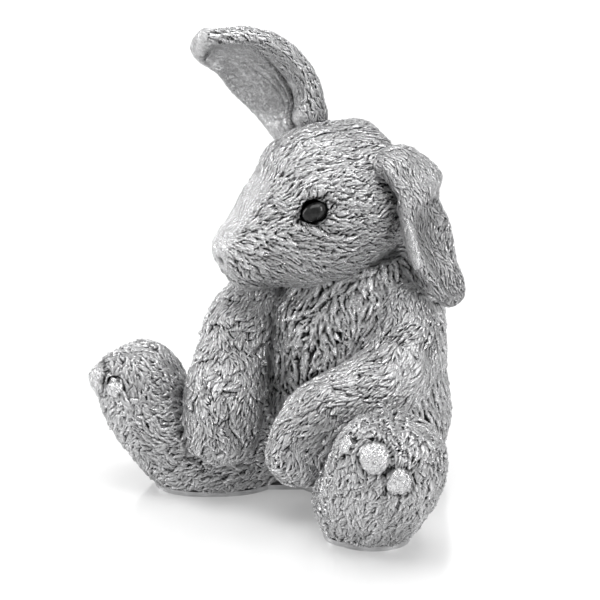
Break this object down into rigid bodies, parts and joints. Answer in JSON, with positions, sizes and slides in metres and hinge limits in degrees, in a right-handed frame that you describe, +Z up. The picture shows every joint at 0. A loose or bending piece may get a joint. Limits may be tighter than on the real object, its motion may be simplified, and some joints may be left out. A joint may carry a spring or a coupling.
{
  "type": "sitting rabbit figurine",
  "caption": "Sitting plush-style rabbit ornament in antiqued cast metal, one ear up and one hanging, legs spread and turned-up soles, on a thin base plate.",
  "frame": {"origin": "torso axis at the underside of the base plate", "axes": "+Z up; the rabbit faces -Y with its left side towards +X"},
  "size_m": [0.068, 0.0569, 0.0781],
  "materials": {
    "pewter": "satin",
    "plate": "satin",
    "bead": "gloss",
    "brass": "satin"
  },
  "bodies": {
    "root": {"torso": "pewter", "head": "pewter", "neck_sleeve": "brass", "ear_raised": "pewter", "ear_lopped": "pewter", "arm_left": "pewter", "arm_right": "pewter", "leg_left": "pewter", "leg_right": "pewter", "tail": "pewter", "eye_left": "bead", "eye_right": "bead", "base_plate": "plate", "ear_pin_left": "brass", "ear_pin_right": "brass", "arm_pin_left": "brass", "arm_pin_right": "brass", "hip_pin_left": "brass", "hip_pin_right": "brass", "tail_pin": "brass"}
  },
  "joints": []
}
